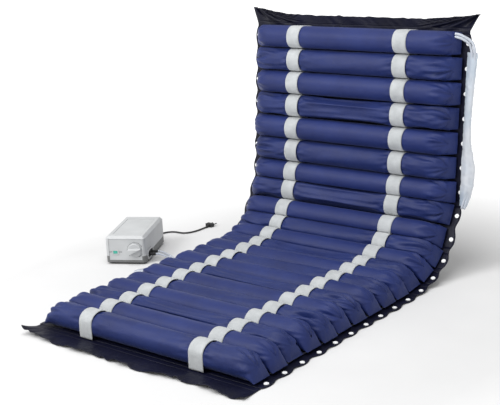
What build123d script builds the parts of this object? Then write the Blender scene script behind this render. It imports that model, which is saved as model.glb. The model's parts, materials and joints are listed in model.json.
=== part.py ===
from build123d import *
import math
import os

# Alternating-pressure mattress with its air pump.
# +Z up, origin at the centre of the flat section's underside, foot end towards -Y,
# head end towards +Y, the pump on the floor at the -X side. Millimetres.

# ---------------------------------------------------------------- mattress dimensions
N_CELLS = 22                # tubular cells, foot to head
PITCH = 83.0                # cell to cell along the base sheet
N_FLAT = 10                 # cells on the flat section
BEND_CELLS = [1, 1, 1, 2]   # cells on each hinged segment of the bend
BEND_DEG = [6.5, 13.5, 17.5, 23.0, 23.5]   # rise at each fold line, flat to back section
N_BEND = sum(BEND_CELLS)
N_BACK = N_CELLS - N_FLAT - N_BEND
CELL_LEN = 790.0            # end seam to end seam
CELL_RY = 39.7              # nominal half width of an inflated cell
CELL_RZ = 43.0              # nominal half height of an inflated cell
CELL_WALL = 1.0
CELL_GAP = 0.5              # nominal cell underside above the sheet
SECTION_MARGIN = 1.8        # zero-inset section beyond the nominal cell
CELL_INSET = 2.0            # cell skin in from the zero-inset section
SHEET_T, SHEET_W = 1.5, 900.0
FOLD_GAP = 0.6              # sheet edge to fold line
FLAP_GAP = 1.2              # flap edge to fold line, clear of the sheet when folded under
FOOT_FLAP, HEAD_FLAP = 78.0, 52.0     # fold line to outer edge
STRAP_X = 221.0             # centre of each webbing strap
STRAP_W, STRAP_T = 54.0, 1.0
STRAP_INSET = 0.6           # strap outside in from the zero-inset section
STRAP_END_Z = 14.0          # strap points below this height are left out
STUD_X = 437.0              # snap studs, one per cell on each edge
STUD_R, STUD_SHANK_R, STUD_H = 7.5, 3.0, 3.6
STUD_LIFT = 0.05            # shank foot above the sheet's underside
FOOT_Y = -N_FLAT * PITCH / 2          # foot edge of the first cell
SIDES = (-1, 1)

os.makedirs("parts", exist_ok=True)


def save(name, *shapes):
    """Write every solid of the shapes, or lists of shapes, to one STEP file."""
    solids = []
    for shape in shapes:
        for part in shape if isinstance(shape, (list, tuple)) else [shape]:
            solids += part.solids()
    export_step(solids[0] if len(solids) == 1 else Compound(children=solids),
                f"parts/{name}.step")


# ---------------------------------------------------------------- solid helpers
def box(x0, x1, y0, y1, z0, z1):
    return Pos((x0 + x1) / 2, (y0 + y1) / 2, (z0 + z1) / 2) * Box(x1 - x0, y1 - y0, z1 - z0)


def rod(start, end, radius):
    axis = Vector(*end) - Vector(*start)
    return extrude(Plane(origin=start, z_dir=axis) * Circle(radius), axis.length)


def cyl_x(y, z, x0, x1, radius):
    return rod((x0, y, z), (x1, y, z), radius)


def cyl_y(x, z, y0, y1, radius):
    return rod((x, y0, z), (x, y1, z), radius)


def cyl_z(x, y, z0, z1, radius):
    return Pos(x, y, z0) * Cylinder(radius, z1 - z0, align=(Align.CENTER, Align.CENTER, Align.MIN))


def ball(centre, radius):
    return Pos(*centre) * Sphere(radius)


def tube(points, radius, bore_r):
    """A round hose through the points, solid when bore_r is 0."""
    path = Wire([Edge.make_spline([Vector(*p) for p in points])])
    start = Plane(origin=path.position_at(0), z_dir=path.tangent_at(0))
    section = Circle(radius) - Circle(bore_r) if bore_r > 0 else Circle(radius)
    return sweep(start * section, path=path, is_frenet=True)


# ---------------------------------------------------------------- mattress profile
headings = [0.0] * N_FLAT
heading = 0.0
for count, rise in zip([*BEND_CELLS, N_BACK], BEND_DEG):
    heading += rise
    headings += [heading] * count
folds = [(FOOT_Y, SHEET_T / 2)]       # fold lines (y, z), at the sheet's mid-plane
for heading in headings:
    y, z = folds[-1]
    angle = math.radians(heading)
    folds.append((y + PITCH * math.cos(angle), z + PITCH * math.sin(angle)))


def seat(i):
    """Location of cell i: local Y along the sheet, local Z off it,
    origin at the sheet's underside below the cell."""
    angle = math.radians(headings[i])
    y, z = folds[i]
    y += PITCH / 2 * math.cos(angle) + SHEET_T / 2 * math.sin(angle)
    z += PITCH / 2 * math.sin(angle) - SHEET_T / 2 * math.cos(angle)
    return Location((0, y, z), (headings[i], 0, 0))


def half_angles(i):
    """Half the fold angle on the foot side and on the head side of cell i."""
    low = (headings[i] - headings[i - 1]) / 2 if i else 0.0
    high = (headings[i + 1] - headings[i]) / 2 if i + 1 < N_CELLS else 0.0
    return math.radians(low), math.radians(high)


made = {}


def once(make, i):
    """Cells with the same fold angles on both sides share one shape."""
    key = (make,) + tuple(round(a, 4) for a in half_angles(i))
    if key not in made:
        made[key] = make(i)
    return made[key]


def ring(i, inset, steps, legs=False):
    """Section of cell i, drawn inward by inset from the wedge between its two fold planes.
    With legs, the lower half runs straight down beside the wedge, for the strap."""
    low, high = half_angles(i)
    centre_z = SHEET_T + CELL_GAP + CELL_RZ
    above_fold = centre_z - SHEET_T / 2
    to_low = PITCH / 2 * math.cos(low) - above_fold * math.sin(low)
    to_high = PITCH / 2 * math.cos(high) - above_fold * math.sin(high)
    radius_y = CELL_RY + SECTION_MARGIN - inset
    radius_z = CELL_RZ + SECTION_MARGIN - inset
    power = 10.0                      # blends the limits with rounded corners
    points = []
    for k in range(steps):
        turn = 2 * math.pi * k / steps
        dir_y, dir_z = math.cos(turn), math.sin(turn)
        if legs and dir_z < 0:
            limits = [radius_y / max(abs(dir_y), 1e-6)]
        else:
            limits = [1 / math.hypot(dir_y / radius_y, dir_z / radius_z)]
        # distance along the ray to each fold plane
        toward_high = dir_y * math.cos(high) + dir_z * math.sin(high)
        toward_low = -dir_y * math.cos(low) + dir_z * math.sin(low)
        if toward_high > 1e-6:
            limits.append((to_high - inset) / toward_high)
        if toward_low > 1e-6:
            limits.append((to_low - inset) / toward_low)
        reach = limits[0]
        if len(limits) > 1:
            reach = sum((1 / q) ** power for q in limits) ** (-1 / power)
        points.append((reach * dir_y, centre_z + reach * dir_z))
    return points


# ---------------------------------------------------------------- mattress pieces
def blank(section, x0, x1):
    """Closed YZ section, drawn as arcs through every second point, extruded from x0 to x1."""
    points = [Vector(x0, y, z) for y, z in section]
    edges = []
    for k in range(0, len(points), 2):
        start, mid, end = points[k], points[k + 1], points[(k + 2) % len(points)]
        if (mid - (start + end) * 0.5).length < 0.01:
            edges.append(Edge.make_line(start, end))
        else:
            edges.append(Edge.make_three_point_arc(start, mid, end))
    return extrude(Face(Wire(edges)), x1 - x0, dir=(1, 0, 0))


def cell_shape(i):
    end = CELL_LEN / 2
    outer = blank(ring(i, CELL_INSET, 48), -end, end)
    inner = blank(ring(i, CELL_INSET + CELL_WALL, 48), -end + CELL_WALL, end - CELL_WALL)
    return outer - inner


def strap_shape(i):
    """One band, drawn as a closed section: over the cell on the outside, back on the inside."""
    def arch(inset):
        points = ring(i, inset, 56, legs=True)
        n = len(points)
        from_bottom = [points[k % n] for k in range(-n // 4, n - n // 4)]
        return [Vector(-STRAP_W / 2, y, z) for y, z in from_bottom if z >= STRAP_END_Z]

    over = arch(STRAP_INSET)
    back = arch(STRAP_INSET + STRAP_T)[::-1]
    edges = [Edge.make_spline(over), Edge.make_line(over[-1], back[0]),
             Edge.make_spline(back), Edge.make_line(back[-1], over[0])]
    return extrude(Face(Wire(edges)), STRAP_W, dir=(1, 0, 0))


def stud_shape():
    shank = cyl_z(0, 0, STUD_LIFT, STUD_LIFT + SHEET_T, STUD_SHANK_R)
    cap = cyl_z(0, 0, SHEET_T + STUD_LIFT, SHEET_T + STUD_LIFT + STUD_H, STUD_R)
    cap = fillet(cap.edges().sort_by(Axis.Z)[-1], 2.2)
    return cap + shank


def sheet(cells):
    """Base sheet under cells that share one heading, with a hole for each stud."""
    n = len(cells)
    width = n * PITCH - 2 * FOLD_GAP
    flat = Pos(0, (n - 1) * PITCH / 2, SHEET_T / 2) * Box(SHEET_W, width, SHEET_T)
    for k in range(n):
        for side in SIDES:
            flat -= Pos(side * STUD_X, k * PITCH, 0) * Cylinder(STUD_SHANK_R + 0.1, 10)
    return seat(cells[0]) * flat


def save_cells(name, cells):
    save(name, *[seat(i) * once(cell_shape, i) for i in cells])


def save_backing(section, cells):
    """Straps, studs and base sheet of one mattress section."""
    save(f"strap_loops_{section}",
         *[seat(i) * Pos(side * STRAP_X, 0, 0) * once(strap_shape, i)
           for i in cells for side in SIDES])
    save(f"snap_studs_{section}",
         *[seat(i) * Pos(side * STUD_X, 0, 0) * STUD for i in cells for side in SIDES])
    save(f"base_sheet_{section}", sheet(cells))


STUD = stud_shape()
FLAT = range(N_FLAT)
BACK = range(N_FLAT + N_BEND, N_CELLS)

# Circuit A feeds the even indices, counted from 0 at the foot, and circuit B the odd ones.
for section, cells in (("flat", FLAT), ("back", BACK)):
    for parity, circuit in enumerate("ab"):
        save_cells(f"cells_{circuit}_{section}", [i for i in cells if i % 2 == parity])
    save_backing(section, cells)

first = N_FLAT
for number, count in enumerate(BEND_CELLS, 1):
    cells = range(first, first + count)
    save_cells(f"cells_bend_{number}", cells)
    save_backing(f"bend_{number}", cells)
    first += count

# Tuck-in flaps: the base sheet carried on past the end cells, each on its own fold line
foot_len, head_len = FOOT_FLAP - FLAP_GAP, HEAD_FLAP - FLAP_GAP
save("foot_flap",
     Pos(0, FOOT_Y - FLAP_GAP - foot_len / 2, SHEET_T / 2) * Box(SHEET_W, foot_len, SHEET_T))
save("head_flap",
     seat(N_CELLS - 1) * (Pos(0, PITCH / 2 + FLAP_GAP + head_len / 2, SHEET_T / 2)
                          * Box(SHEET_W, head_len, SHEET_T)))

# ---------------------------------------------------------------- air hoses, flat section
HOSE_R, HOSE_BORE_R = 4.0, 2.6        # supply hoses of circuits A and B
MANIFOLD_A_X, MANIFOLD_B_X = 408.5, 420.5   # beside the right ends of the cells
HOSE_Z = SHEET_T + 0.4 + HOSE_R
MANIFOLD_Y0, MANIFOLD_Y1 = FOOT_Y + 20, FOOT_Y + N_FLAT * PITCH - 12
STUB_R, STUB_Z = 2.8, 26
FEED_FOLD = 7                         # the supply pair crosses under the cells at this fold
FEED_Y = FOOT_Y + FEED_FOLD * PITCH
FEED_OFFSET = 4.6                     # each feed off the fold line
FEED_X0 = -398.0                      # left end of the feeds
FEED_R = HOSE_R - 0.3
STEP_X = CELL_LEN / 2 + 5.0           # where circuit B rises to step over manifold A
STEP_Z = HOSE_Z + 2 * HOSE_R + 1.0


def manifold(x, parity):
    """Tube along the cell ends, with a riser and a stub into each cell of one circuit."""
    pipe = rod((x, MANIFOLD_Y0, HOSE_Z), (x, MANIFOLD_Y1, HOSE_Z), HOSE_R)
    for i in range(parity, N_FLAT, 2):
        y = FOOT_Y + (i + 0.5) * PITCH
        corner = (x, y, STUB_Z)
        pipe += (rod((x, y, HOSE_Z), corner, STUB_R) + ball(corner, STUB_R)
                 + rod((CELL_LEN / 2 + 0.4, y, STUB_Z), corner, STUB_R))
    return pipe


def circuit_a():
    y = FEED_Y - FEED_OFFSET
    hose = manifold(MANIFOLD_A_X, 0) + cyl_x(y, HOSE_Z, FEED_X0, MANIFOLD_A_X, FEED_R)
    hose -= cyl_x(y, HOSE_Z, FEED_X0 - 1, MANIFOLD_A_X - 8, HOSE_BORE_R)
    return hose


def circuit_b():
    y = FEED_Y + FEED_OFFSET
    step_low, step_high = (STEP_X, y, HOSE_Z), (STEP_X, y, STEP_Z)
    drop_high, drop_low = (MANIFOLD_B_X, y, STEP_Z), (MANIFOLD_B_X, y, HOSE_Z)
    hose = manifold(MANIFOLD_B_X, 1)
    hose += (rod(step_high, drop_high, FEED_R) + ball(drop_high, FEED_R)
             + rod(drop_low, drop_high, FEED_R))
    hose += (rod((FEED_X0, y, HOSE_Z), step_low, FEED_R) + ball(step_low, FEED_R)
             + rod(step_low, step_high, FEED_R) + ball(step_high, FEED_R))
    hose -= cyl_x(y, HOSE_Z, FEED_X0 - 1, STEP_X - 8, HOSE_BORE_R)
    return hose


save("air_hoses_flat", circuit_a(), circuit_b())

# ---------------------------------------------------------------- air hoses, back section
# Two hoses side by side up the right edge, outboard of the sheet, turning in at the top cell
BACK_SEAT = seat(BACK[0])
TOP_Y = (N_BACK - 0.5) * PITCH
BACK_HOSE_R, BACK_BORE_R = 5.0, 3.4


def back_hose(offset):
    x = SHEET_W / 2 + 10.0 + offset
    points = [(x + 2, -16, 9), (x + 4, 40, 10), (x + 14, 120, 11), (x + 17, 200, 11),
              (x + 10, 300, 10), (x + 3, 390, 9), (x - 1, 460, 12),
              (x - 18, TOP_Y - 38 + offset * 0.5, 22),
              (CELL_LEN / 2 + 8, TOP_Y - 8 + offset, 34)]
    return BACK_SEAT * tube(points, BACK_HOSE_R, BACK_BORE_R)


save("air_hoses_back", back_hose(0), back_hose(2 * BACK_HOSE_R + 1.2))

# Sleeve: a flattened tube, open at both ends, beside the right edge of the back sheet
SLEEVE_W, SLEEVE_T, SLEEVE_WALL = 52.0, 22.0, 0.6
SLEEVE_X0, SLEEVE_Y0, SLEEVE_Y1 = SHEET_W / 2 + 2.0, 8.0, 452.0
SLEEVE_CORNER_R = 10.0


def sleeve_blank(inset, extra_len):
    blank_box = (Pos(SLEEVE_X0 + SLEEVE_W / 2, (SLEEVE_Y0 + SLEEVE_Y1) / 2, 12.2)
                 * Box(SLEEVE_W - 2 * inset, SLEEVE_Y1 - SLEEVE_Y0 + extra_len,
                       SLEEVE_T - 2 * inset))
    return fillet(blank_box.edges().filter_by(Axis.Y), SLEEVE_CORNER_R - inset)


save("hose_sleeve", BACK_SEAT * (sleeve_blank(0, 0) - sleeve_blank(SLEEVE_WALL, 10)))

# ---------------------------------------------------------------- pump
# Drawn in its own frame: front towards -Y, feet on Z 0
PUMP_AT = Location((-690, 290, 0), (0, 0, 28))
PUMP_W, PUMP_D, PUMP_TOP = 150.0, 265.0, 106.0
RIGHT, REAR = PUMP_W / 2, PUMP_D / 2
LEFT, FRONT = -RIGHT, -REAR
FOOT_H = 7.0
BASE_TOP = 31.0          # top of the base at the sides
LIP_Z = 15.0             # top of the base across the front
WALL = 2.5
SPLIT = 0.3              # gap between base and cover
PANEL_W = 124.0
OUTLET_Y, OUTLET_Z = FRONT + 58, 27.0     # centre of the air outlet on the right side
OUTLET_HALF = 20         # outlet centre to the centre of each rounded end
NOZZLE_Y = 14.0          # nozzle half spacing
KNOB_X, KNOB_Z = 36.0, 54.0
KNOB_DEG = 75.0          # pointer, clockwise from the top as seen from the front
SHAFT_R = 3.0
SWITCH_X, SWITCH_Z = -38.0, 46.0
CORD_X, CORD_Z = 36.0, 19.0
SCREWS = [(sx * 66, sy * 119) for sx in SIDES for sy in SIDES]
FEET = [(sx * 60, sy * 106) for sx in SIDES for sy in SIDES]


def save_pump(name, *shapes):
    save(name, *[PUMP_AT * shape for shape in shapes])


def rounded_block(inset, corner_r, bevel):
    """The pump's outer form, drawn inward by inset."""
    form = box(LEFT + inset, RIGHT - inset, FRONT + inset, REAR - inset,
               FOOT_H + inset, PUMP_TOP - inset)
    form = fillet(form.edges().filter_by(Axis.Z), corner_r)
    return chamfer(form.edges().group_by(Axis.Z)[-1], bevel)


def oval(x0, x1, radius):
    """Round-ended bar along X, centred on the air outlet."""
    middle = box(x0, x1, OUTLET_Y - OUTLET_HALF, OUTLET_Y + OUTLET_HALF,
                 OUTLET_Z - radius, OUTLET_Z + radius)
    return (middle + cyl_x(OUTLET_Y - OUTLET_HALF, OUTLET_Z, x0, x1, radius)
            + cyl_x(OUTLET_Y + OUTLET_HALF, OUTLET_Z, x0, x1, radius))


body = rounded_block(0, 12.0, 9.0)
shell = body - rounded_block(WALL, 9.5, 7.5)
outlet_cut = oval(RIGHT - 20, RIGHT + 20, 14.5)


def pump_base():
    below = (box(-200, 200, -200, 200, -10, BASE_TOP)
             - box(-PANEL_W / 2, PANEL_W / 2, -200, FRONT + 8, LIP_Z, 60))
    base = (shell & below)
    for x, y in SCREWS:
        base += cyl_z(x, y, FOOT_H + 0.5, BASE_TOP - 6, 4.5)
    for x, y in SCREWS:
        base -= cyl_z(x, y, 0, 60, 1.75)
        base -= cyl_z(x, y, 0, FOOT_H + 3.0, 3.4)
    base -= outlet_cut
    # air inlet slots in the floor
    for k in range(6):
        base -= box(-30, 30, 40 + k * 7, 43 + k * 7, 0, FOOT_H + WALL + 1)
    base -= cyl_y(CORD_X, CORD_Z, REAR - 10, REAR + 5, 5.2)
    # groove for the front panel
    base -= box(-PANEL_W / 2 - 0.3, PANEL_W / 2 + 0.3, FRONT + 0.9, FRONT + 3.9,
                LIP_Z - 0.2, 60)
    return base


def pump_cover():
    above = box(-200, 200, -200, 200, BASE_TOP + SPLIT, 200)
    window = box(-PANEL_W / 2 - 0.4, PANEL_W / 2 + 0.4, -200, FRONT + 8,
                 LIP_Z - 5, PUMP_TOP - 11)
    cover = (shell & above) - window - outlet_cut
    for x, y in SCREWS:
        cover += (cyl_z(x, y, BASE_TOP - 5.6, PUMP_TOP - WALL + 0.5, 4.5)
                  - cyl_z(x, y, BASE_TOP - 10, BASE_TOP + 12, 1.3))
    # trim the screw posts to the body
    cover = cover & (body + box(LEFT + 4, RIGHT - 4, FRONT + 4, REAR - 4,
                                BASE_TOP - 6, PUMP_TOP - 3))
    # label recess on top, with a deeper groove around it
    cover -= box(-52, 52, FRONT + 34, REAR - 40, PUMP_TOP - 0.8, PUMP_TOP + 5)
    cover -= (box(-53.6, 53.6, FRONT + 32.4, REAR - 38.4, PUMP_TOP - 1.3, PUMP_TOP + 5)
              - box(-52, 52, FRONT + 34, REAR - 40, PUMP_TOP - 3, PUMP_TOP + 6))
    return cover


def front_panel():
    """Panel in the cover's window and the base's lip, open for knob shaft and switch."""
    panel = box(-PANEL_W / 2, PANEL_W / 2, FRONT + 1.2, FRONT + 3.6,
                LIP_Z + 0.4, PUMP_TOP - 11.4)
    panel -= cyl_y(KNOB_X, KNOB_Z, FRONT - 5, FRONT + 10, 4.2)
    panel -= box(SWITCH_X - 9.8, SWITCH_X + 9.8, FRONT - 5, FRONT + 10,
                 SWITCH_Z - 6.8, SWITCH_Z + 6.8)
    return panel


def pressure_knob():
    """Bevelled skirt with a tapering grip, bored for the shaft."""
    skirt = cyl_y(KNOB_X, KNOB_Z, FRONT - 5.2, FRONT + 0.9, 24.5)
    skirt = chamfer(skirt.edges().filter_by(GeomType.CIRCLE).sort_by(Axis.Y)[0], 1.8)
    # grip outline: (along the pointer, across it)
    grip = Polyline((-20.5, -11.5), (23.5, -2.2), (25.5, 0), (23.5, 2.2),
                    (-20.5, 11.5), (-25, 6.5), (-26, 0), (-25, -6.5), close=True)
    grip = extrude(make_face(grip), 12.0, taper=14)
    pointer = math.radians(KNOB_DEG)
    grip_plane = Plane(origin=(KNOB_X, FRONT - 5.2, KNOB_Z), z_dir=(0, -1, 0),
                       x_dir=(math.sin(pointer), 0, math.cos(pointer)))
    knob = skirt + grip_plane * grip
    knob -= cyl_y(KNOB_X, KNOB_Z, FRONT - 9, FRONT + 5, SHAFT_R + 0.02)
    return knob


def pressure_valve():
    valve = (cyl_y(KNOB_X, KNOB_Z, FRONT + 4.0, FRONT + 34, 9.0)
             - cyl_y(KNOB_X, KNOB_Z, FRONT, FRONT + 30.5, SHAFT_R + 0.1))
    valve += rod((KNOB_X, FRONT + 24, KNOB_Z - 8), (KNOB_X, FRONT + 24, KNOB_Z - 20), 3.0)
    return valve


save_pump("pump_base", pump_base())
save_pump("pump_cover", pump_cover())
save_pump("front_panel", front_panel())
save_pump("pressure_knob", pressure_knob())
save_pump("knob_shaft", cyl_y(KNOB_X, KNOB_Z, FRONT - 8.9, FRONT + 30, SHAFT_R))
save_pump("pressure_valve", pressure_valve())

# ---------------------------------------------------------------- rocker switch
PIVOT_Y = FRONT + 2.2    # vertical pivot of the rocker


def switch_body():
    """Bezel and hollow housing, with sockets for the pivot."""
    bezel = box(SWITCH_X - 12, SWITCH_X + 12, FRONT - 1.0, FRONT + 1.1,
                SWITCH_Z - 9, SWITCH_Z + 9)
    bezel = fillet(bezel.edges().filter_by(Axis.Y), 1.2)
    housing = bezel + box(SWITCH_X - 9.5, SWITCH_X + 9.5, FRONT + 1.0, FRONT + 18,
                          SWITCH_Z - 6.5, SWITCH_Z + 6.5)
    housing -= box(SWITCH_X - 8.4, SWITCH_X + 8.4, FRONT - 5, FRONT + 9.5,
                   SWITCH_Z - 5.6, SWITCH_Z + 5.6)
    housing -= cyl_z(SWITCH_X, PIVOT_Y, SWITCH_Z - 6.4, SWITCH_Z + 6.4, 1.06)
    return housing


def power_rocker():
    # outline from above: (x, y) from the pivot
    rocker = Polyline((-7.3, -4.6), (-3.0, -3.6), (0, -3.1), (3.0, -2.7),
                      (7.9, -1.3), (7.4, 1.6), (0, 4.6), (-7.4, 2.6), close=True)
    rocker = extrude(make_face(rocker), 10.8)
    rocker = Pos(SWITCH_X, PIVOT_Y, SWITCH_Z - 5.4) * rocker
    return rocker + cyl_z(SWITCH_X, PIVOT_Y, SWITCH_Z - 6.2, SWITCH_Z + 6.2, 1.0)


save_pump("power_rocker", power_rocker())
save_pump("switch_body", switch_body())


# ---------------------------------------------------------------- air outlet
def outlet_ring():
    outer_ring = oval(RIGHT + 0.2, RIGHT + 4.0, 17.0) - oval(RIGHT - 1, RIGHT + 5, 12.0)
    return chamfer(outer_ring.edges().group_by(Axis.X)[-1], 1.2)


def air_nozzles():
    """Oval cup inside the wall with two bored nozzles."""
    cup = oval(RIGHT - 16, RIGHT + 0.1, 14.0) - oval(RIGHT - 12, RIGHT + 1, 12.0)
    for side in SIDES:
        y = OUTLET_Y + side * NOZZLE_Y
        cup += cyl_x(y, OUTLET_Z, RIGHT - 18, RIGHT + 2.0, 3.4)
        cup -= cyl_x(y, OUTLET_Z, RIGHT - 19, RIGHT + 4.0, 2.0)
    return cup


save_pump("outlet_ring", outlet_ring())
save_pump("air_nozzles", air_nozzles())


# ---------------------------------------------------------------- feet and screws
def rubber_foot(x, y):
    foot = cyl_z(x, y, 0, FOOT_H - 0.1, 9.0)
    return chamfer(foot.edges().sort_by(Axis.Z)[0], 1.5)


def cover_screw(x, y):
    """Pan head in the base's counterbore, shank up into the cover's post."""
    return (cyl_z(x, y, FOOT_H + 0.8, FOOT_H + 2.9, 3.0)
            + cyl_z(x, y, FOOT_H + 2.8, BASE_TOP + 6, 1.2))


save_pump("rubber_feet", *[rubber_foot(x, y) for x, y in FEET])
save_pump("cover_screws", *[cover_screw(x, y) for x, y in SCREWS])

# ---------------------------------------------------------------- hanger on the rear wall
HANGER_Y, HANGER_Z = REAR + 5.0, 84.0
HANGER_X = 50            # half spacing of the two hooks
WIRE_R = 2.0
# (y, z) of the corners of a hook, from the cross bar to the tip
HOOK = [(HANGER_Y, HANGER_Z), (HANGER_Y, HANGER_Z - 50),
        (HANGER_Y + 16, HANGER_Z - 56), (HANGER_Y + 20, HANGER_Z - 42)]


def bed_hanger():
    """One bent rod with a hook at each end."""
    hanger = cyl_x(HANGER_Y, HANGER_Z, -HANGER_X, HANGER_X, WIRE_R)
    for side in SIDES:
        corners = [(side * HANGER_X, y, z) for y, z in HOOK]
        hanger += ball(corners[0], WIRE_R)
        for start, end in zip(corners, corners[1:]):
            hanger += rod(start, end, WIRE_R)
            hanger += ball(end, WIRE_R)
    return hanger


def hanger_bracket(x):
    bracket = box(x - 6, x + 6, REAR + 0.1, HANGER_Y + WIRE_R + 2.2,
                  HANGER_Z - 4.5, HANGER_Z + 4.5)
    bracket = fillet(bracket.edges().filter_by(Axis.X).group_by(Axis.Y)[-1], 3.0)
    return bracket - cyl_x(HANGER_Y, HANGER_Z, -80, 80, WIRE_R + 0.06)


save_pump("bed_hanger", bed_hanger())
save_pump("hanger_brackets", *[hanger_bracket(side * 32) for side in SIDES])

# ---------------------------------------------------------------- diaphragm compressor
# Two stator halves, two coils, a magnet arm between them, a diaphragm and chamber at each end
COMP_Y, COMP_Z = 46.0, 44.0


def stator(side):
    """E-shaped core half: a back bar and three limbs towards the arm."""
    z0, z1 = COMP_Z - 12, COMP_Z + 12
    core = box(side * 40 - 10, side * 40 + 10, COMP_Y - 26, COMP_Y + 26, z0, z1)
    for y0, y1 in ((-26, -16), (16, 26), (-5, 5)):
        core += box(*sorted((side * 14, side * 30)), COMP_Y + y0, COMP_Y + y1, z0, z1)
    return core


def coil(side):
    x0, x1 = sorted((side * 15.5, side * 29.5))
    winding = box(x0, x1, COMP_Y - 15, COMP_Y + 15, COMP_Z - 22, COMP_Z + 22)
    winding = fillet(winding.edges().filter_by(Axis.X), 6)
    return winding - box(x0 - 1, x1 + 1, COMP_Y - 5.6, COMP_Y + 5.6,
                         COMP_Z - 12.6, COMP_Z + 12.6)


def armature():
    arm = box(-11, 11, COMP_Y - 22, COMP_Y + 22, COMP_Z - 3, COMP_Z + 3)
    arm += (box(-11.5, 11.5, COMP_Y - 14, COMP_Y - 3, COMP_Z - 9, COMP_Z + 9)
            + box(-11.5, 11.5, COMP_Y + 3, COMP_Y + 14, COMP_Z - 9, COMP_Z + 9))
    arm += cyl_y(0, COMP_Z, COMP_Y - 40.0, COMP_Y + 40.0, 2.5)
    return arm


def diaphragm(side):
    disc = cyl_y(0, COMP_Z, *sorted((COMP_Y + side * 42.5, COMP_Y + side * 50)), 24.0)
    return fillet(disc.edges().filter_by(GeomType.CIRCLE), 2.4)


def valve_chamber(side):
    y0, y1 = sorted((COMP_Y + side * 50.3, COMP_Y + side * 68))
    chamber = (cyl_y(0, COMP_Z, y0, y1, 25.0)
               + box(-25, 25, y0, y1, COMP_Z - 34, COMP_Z))
    chamber += cyl_x(COMP_Y + side * 60, COMP_Z + 10, 20, 33, 3.0)
    return chamber


save_pump("compressor_core", *[stator(side) for side in SIDES])
save_pump("compressor_coils", *[coil(side) for side in SIDES])
save_pump("armature", armature())
save_pump("diaphragms", *[diaphragm(side) for side in SIDES])
save_pump("valve_chambers", *[valve_chamber(side) for side in SIDES])

# ---------------------------------------------------------------- rotary air distributor
# Geared motor with a slotted disc on top, feeding circuits A and B in turn
DIST_X, DIST_Y = 10.0, -62.0


def distributor_motor():
    motor = (cyl_z(DIST_X, DIST_Y, FOOT_H + WALL + 0.3, 27.0, 18.0)
             + cyl_z(DIST_X, DIST_Y, 27.0, 30.0, 6.0))
    motor -= cyl_z(DIST_X, DIST_Y, 20.0, 40, 2.06)
    return motor


def distributor_disc():
    disc = cyl_z(DIST_X, DIST_Y, 30.4, 36.0, 16.0) + cyl_z(DIST_X, DIST_Y, 21.0, 31.0, 2.0)
    disc -= box(DIST_X + 5, DIST_X + 12, DIST_Y - 2.5, DIST_Y + 2.5, 33, 40)
    disc += cyl_z(DIST_X, DIST_Y, 36.0, 38.0, 5.0)
    return disc


save_pump("distributor_motor", distributor_motor())
save_pump("distributor_disc", distributor_disc())


# ---------------------------------------------------------------- circuit board and tubes
def circuit_board():
    """Upright board with one round and two square components on its rear face."""
    face_y = FRONT + 29
    board = (box(-68, -14, FRONT + 27, face_y, 36, 92)
             + cyl_y(-52, 80, face_y, FRONT + 45, 6)
             + box(-40, -20, face_y, FRONT + 40, 66, 84))
    board += box(-66, -46, face_y, FRONT + 36, 40, 56)
    return board


def internal_tube(route, side):
    """Tube along the route, then straight into one nozzle."""
    y = OUTLET_Y + side * NOZZLE_Y
    ends = [(RIGHT - 28, y, OUTLET_Z), (RIGHT - 20.6, y, OUTLET_Z)]
    return tube(route + ends, 3.0, 1.8)


# (x, y, z) from a valve chamber's port towards its nozzle
FRONT_ROUTE = [(34, COMP_Y - 60, COMP_Z + 10), (46, COMP_Y - 64, COMP_Z + 8),
               (52, -35, 50), (50, -62, 44),
               (RIGHT - 36, OUTLET_Y + NOZZLE_Y + 4, OUTLET_Z + 4)]
REAR_ROUTE = [(34, COMP_Y + 60, COMP_Z + 10), (48, COMP_Y + 58, COMP_Z + 10),
              (60, COMP_Y + 20, COMP_Z + 16), (60, COMP_Y - 60, COMP_Z + 20),
              (46, -55, 60), (36, -80, 44), (38, OUTLET_Y - NOZZLE_Y - 3, OUTLET_Z + 4)]
save_pump("circuit_board", circuit_board())
save_pump("internal_tubes", internal_tube(FRONT_ROUTE, 1), internal_tube(REAR_ROUTE, -1))


# ---------------------------------------------------------------- twin supply hose
def at_pump(x, y, z):
    """A point of the pump's frame, in the mattress frame."""
    point = (PUMP_AT * Pos(x, y, z)).position
    return (point.X, point.Y, point.Z)


def connector(side):
    """Stepped sleeve over one nozzle."""
    y = OUTLET_Y + side * NOZZLE_Y
    bore = cyl_x(y, OUTLET_Z, RIGHT + 2.0, RIGHT + 14, 3.45)
    sleeve = cyl_x(y, OUTLET_Z, RIGHT + 2.6, RIGHT + 26, 5.6)
    sleeve -= bore
    sleeve += cyl_x(y, OUTLET_Z, RIGHT + 3, RIGHT + 6, 7.5) - bore
    return sleeve


def supply_hose(side):
    """From the connector, down to the floor and up to the feed at the mattress edge."""
    nozzle_y = OUTLET_Y + side * NOZZLE_Y
    feed_y = FEED_Y + side * FEED_OFFSET
    points = [at_pump(RIGHT + 27.6, nozzle_y, OUTLET_Z),
              at_pump(RIGHT + 36, nozzle_y, OUTLET_Z),
              at_pump(RIGHT + 52, OUTLET_Y + side * NOZZLE_Y * 0.9, OUTLET_Z - 5),
              at_pump(RIGHT + 88, OUTLET_Y + side * 5.5 - 6, HOSE_R + 1.5),
              (-530, FEED_Y - 42 + side * 5.2, HOSE_R + 0.6),
              (-482, FEED_Y - 12 + side * 5.0, HOSE_R + 1.2),
              (-446, feed_y, HOSE_Z + 0.2),
              (-425, feed_y, HOSE_Z),
              (FEED_X0 - 0.6, feed_y, HOSE_Z)]
    return tube(points, HOSE_R, HOSE_BORE_R)


save_pump("hose_connectors", *[connector(side) for side in SIDES])
save("supply_hose", *[supply_hose(side) for side in SIDES])

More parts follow.
